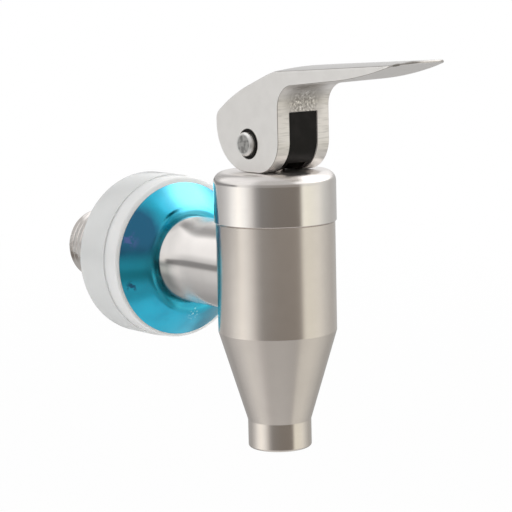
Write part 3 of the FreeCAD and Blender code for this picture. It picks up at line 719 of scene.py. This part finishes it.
# Pivot pin
# Plain steel pin pressed through the stem's eye. Its ends stand a little out of the cheeks,
# with mottled faces from the cropping and a painted highlight on a light chamfer.
PIN_POLISH = 0.30
PIN_STEEL = (0.60, 0.59, 0.57, 1)
PIN_SHADE = (0.42, 0.405, 0.39, 1)
PIN_MOTTLE = 0.9 * MM
PIN_MOTTLE_SHADE = (0.24, 0.235, 0.225, 1)
PIN_CHAMFER_HIGHLIGHT = (0.86, 0.85, 0.83, 1)
CHAMFER_FROM = (pin_high.y - 0.7 * MM, pin_high.y - 0.45 * MM)

pin_steel = turned_steel("pin_steel", PIN_POLISH, place=(-PIN_Z, 0, 0),
                         turn=(0, math.pi / 2, 0), tone=PIN_STEEL, shade=PIN_SHADE)
shader, tone = already(pin_steel, "Base Color")
at = tone.node("ShaderNodeTexCoord", output="Object")
centred = at.node("ShaderNodeMapping", {}, {"Vector": at, "Location": (0, 0, -PIN_Z)})
chamfer_highlight = centred.length((0, 1, 1)).step(*CHAMFER_FROM)
mottled = at.cloud(PIN_MOTTLE, 4.0).step(0.44, 0.60)
tone = (mottled * 0.75).blend(tone, PIN_MOTTLE_SHADE)
# Painted highlight on the chamfer's ring
at.feed(shader, {"Base Color": chamfer_highlight.blend(tone, PIN_CHAMFER_HIGHLIGHT)})
dress("pivot_pin", pin_steel)


# Studio
# A pale room with a long soft wall of light on the left and a narrower one on the right, dim
# between them behind the camera and at the back. The backdrop and the floor are white.
AZIMUTH = math.radians(-38.5)
ELEVATION = math.radians(8.216)
ROLL = math.radians(-1.343)
LENS = 127.98
DISTANCE = 371.794 * MM
AIM_SIDEWAYS = -4.12 * MM
AIM_HEIGHT = 39.667 * MM
FLOOR_Z = -70 * MM
FLOOR_HALF = 3.0
WHITE = (1, 1, 1, 1)
PAPER = (0.85, 0.85, 0.85, 1)
PAPER_GLOW = 0.88
OVERHEAD = (0.8, 0.8, 0.8, 1)
SLIT = (0.28, 0.28, 0.28, 1)

right = Vector((math.cos(AZIMUTH), math.sin(AZIMUTH), 0))
back = Vector((math.sin(AZIMUTH) * math.cos(ELEVATION),
               -math.cos(AZIMUTH) * math.cos(ELEVATION), math.sin(ELEVATION)))
front = Vector((back.x, back.y, 0)).normalized()

world = bpy.data.worlds.new("studio")
bpy.context.scene.world = world
world.use_nodes = True
world.node_tree.nodes.clear()
toward = Link(world.node_tree).node("ShaderNodeTexCoord", output="Generated")
sideways = toward.node("ShaderNodeVectorMath", {"operation": "DOT_PRODUCT"},
                       {0: toward, 1: right}, output="Value")
forwards = toward.node("ShaderNodeVectorMath", {"operation": "DOT_PRODUCT"},
                       {0: toward, 1: front}, output="Value")
angle = toward.math("ARCTAN2", sideways, forwards) / (2 * math.pi) + 0.5


def around(*tones):
    """Tones round the room, from (degrees right of the camera, red, green, blue)."""
    stops = [(degrees / 360 + 0.5, (red, green, blue, 1)) for degrees, red, green, blue in tones]
    return angle.node("ShaderNodeValToRGB", {"stops": stops}, {"Fac": angle})


# The room at the object's height, above it and below it
level = around(
    (-180, 0.55, 0.55, 0.55), (-128, 0.54, 0.54, 0.54), (-106, 0.73, 0.73, 0.73),
    (-90, 0.97, 0.97, 0.96), (-74, 1.09, 1.08, 1.05), (-60, 0.97, 0.97, 0.96),
    (-47, 0.76, 0.75, 0.74), (-36, 0.48, 0.475, 0.47), (-27, 0.38, 0.37, 0.36),
    (0, 0.35, 0.33, 0.31), (37, 0.35, 0.325, 0.30), (46, 0.37, 0.345, 0.32),
    (53.5, 0.90, 0.89, 0.83), (58, 0.92, 0.91, 0.85), (63, 0.90, 0.89, 0.82),
    (89, 0.89, 0.88, 0.84), (106, 0.72, 0.72, 0.70), (128, 0.56, 0.555, 0.54),
    (180, 0.55, 0.55, 0.55))
high = around(
    (-180, 1.3, 1.3, 1.3), (-168, 0.80, 0.80, 0.80), (-153, 0.45, 0.45, 0.45),
    (-143, 0.42, 0.42, 0.42), (-136, 0.60, 0.60, 0.60), (-128, 1.25, 1.25, 1.25),
    (-112, 1.1, 1.1, 1.1), (-84, 1.05, 1.05, 1.05), (-76, 1.1, 1.1, 1.1),
    (-50, 1.05, 1.05, 1.05), (-38, 0.75, 0.75, 0.75), (-30, 0.62, 0.61, 0.60),
    (34, 0.62, 0.61, 0.60), (44, 1.2, 1.2, 1.2), (66, 1.5, 1.5, 1.5), (86, 2.5, 2.5, 2.5),
    (122, 2.5, 2.5, 2.5), (140, 1.1, 1.1, 1.1), (180, 1.2, 1.2, 1.2))
low = around(
    (-180, 0.34, 0.34, 0.34), (-147, 0.38, 0.38, 0.38), (-132, 0.47, 0.47, 0.47),
    (-113, 0.58, 0.58, 0.58), (-95, 0.72, 0.72, 0.72), (-78, 0.83, 0.825, 0.81),
    (-56, 0.78, 0.775, 0.77), (-36, 0.55, 0.54, 0.535), (-25, 0.49, 0.485, 0.475),
    (40, 0.48, 0.475, 0.465), (48, 0.52, 0.51, 0.49), (55, 0.76, 0.75, 0.71),
    (85, 0.79, 0.78, 0.74), (114, 0.63, 0.63, 0.61), (140, 0.5, 0.5, 0.5),
    (180, 0.34, 0.34, 0.34))
# Just below the object's height the room has more contrast, which the cap's side mirrors
deeper = level.node("ShaderNodeGamma", {}, {"Color": level, "Gamma": 1.75})
deeper = deeper.node("ShaderNodeVectorMath", {"operation": "SCALE"},
                     {0: deeper, "Scale": 1.3}, output="Vector")
rise = toward.part("Z")
drop = 0 - rise
room = rise.step(0.08, 0.28).blend(level, high)
room = rise.step(0.82, 0.95).blend(room, OVERHEAD)
room = drop.step(0.18, 0.26).blend(room, deeper)
room = drop.step(0.34, 0.56).blend(room, low)
room = drop.step(0.70, 0.80).blend(room, OVERHEAD)
# A dark strip at the object's height, far on the left, draws the dark line along the neck
slit = rise.step(-0.16, -0.07) * (1 - rise.step(0.02, 0.09)) * (1 - angle.step(0.27, 0.31))
room = slit.blend(room, SLIT)
seen = toward.node("ShaderNodeLightPath", output="Is Camera Ray")
shown = toward.node("ShaderNodeBackground", {}, {"Color": seen.blend(room, WHITE),
                                                 "Strength": 1.0})
toward.node("ShaderNodeOutputWorld", {}, {"Surface": shown})

floor_shape = bmesh.new()
bmesh.ops.create_grid(floor_shape, x_segments=1, y_segments=1, size=FLOOR_HALF)
bmesh.ops.translate(floor_shape, verts=floor_shape.verts[:], vec=(0, 0, FLOOR_Z))
floor_mesh = bpy.data.meshes.new("floor")
floor_shape.to_mesh(floor_mesh)
floor_shape.free()
floor = bpy.data.objects.new("floor", floor_mesh)
bpy.context.scene.collection.objects.link(floor)

# White paper whose shadow stays near the object. Mirrored rays pass it and meet the room.
paper = bpy.data.materials.new("white_paper")
paper.use_nodes = True
paper.node_tree.nodes.clear()
start = Link(paper.node_tree)
sheet = start.node("ShaderNodeBsdfDiffuse", {}, {"Color": PAPER})
glow = start.node("ShaderNodeEmission", {}, {"Color": WHITE, "Strength": 1.0})
path = start.node("ShaderNodeLightPath", output="Is Camera Ray")
far = start.node("ShaderNodeTexCoord", output="Object").length((1, 1, 0)).step(0.25, 0.9)
glowing = path * (PAPER_GLOW + far * (1 - PAPER_GLOW))
shown = start.node("ShaderNodeMixShader", {}, {0: glowing, 1: sheet, 2: glow})
mirror = Link(paper.node_tree, path.socket.node.outputs["Is Glossy Ray"])
open_air = start.node("ShaderNodeBsdfTransparent")
shown = start.node("ShaderNodeMixShader", {}, {0: mirror, 1: shown, 2: open_air})
start.node("ShaderNodeOutputMaterial", {}, {"Surface": shown})
floor_mesh.materials.append(paper)


# Camera
# The photograph's view: from the left front, a little above, with a long lens and a slight tilt.
up = back.cross(right)
tilted_right = right * math.cos(ROLL) + up * math.sin(ROLL)
tilted_up = up * math.cos(ROLL) - right * math.sin(ROLL)
lens = bpy.data.cameras.new("photo_view")
lens.lens = LENS
lens.clip_start = 0.01
camera = bpy.data.objects.new("photo_view", lens)
bpy.context.scene.collection.objects.link(camera)
turned = camera.matrix_world.copy()
for row in range(3):
    turned[row][0] = tilted_right[row]
    turned[row][1] = tilted_up[row]
    turned[row][2] = back[row]
target = right * AIM_SIDEWAYS + Vector((0, 0, AIM_HEIGHT))
turned.translation = target + back * DISTANCE
camera.matrix_world = turned
bpy.context.scene.camera = camera
bpy.context.scene.view_settings.view_transform = "Standard"
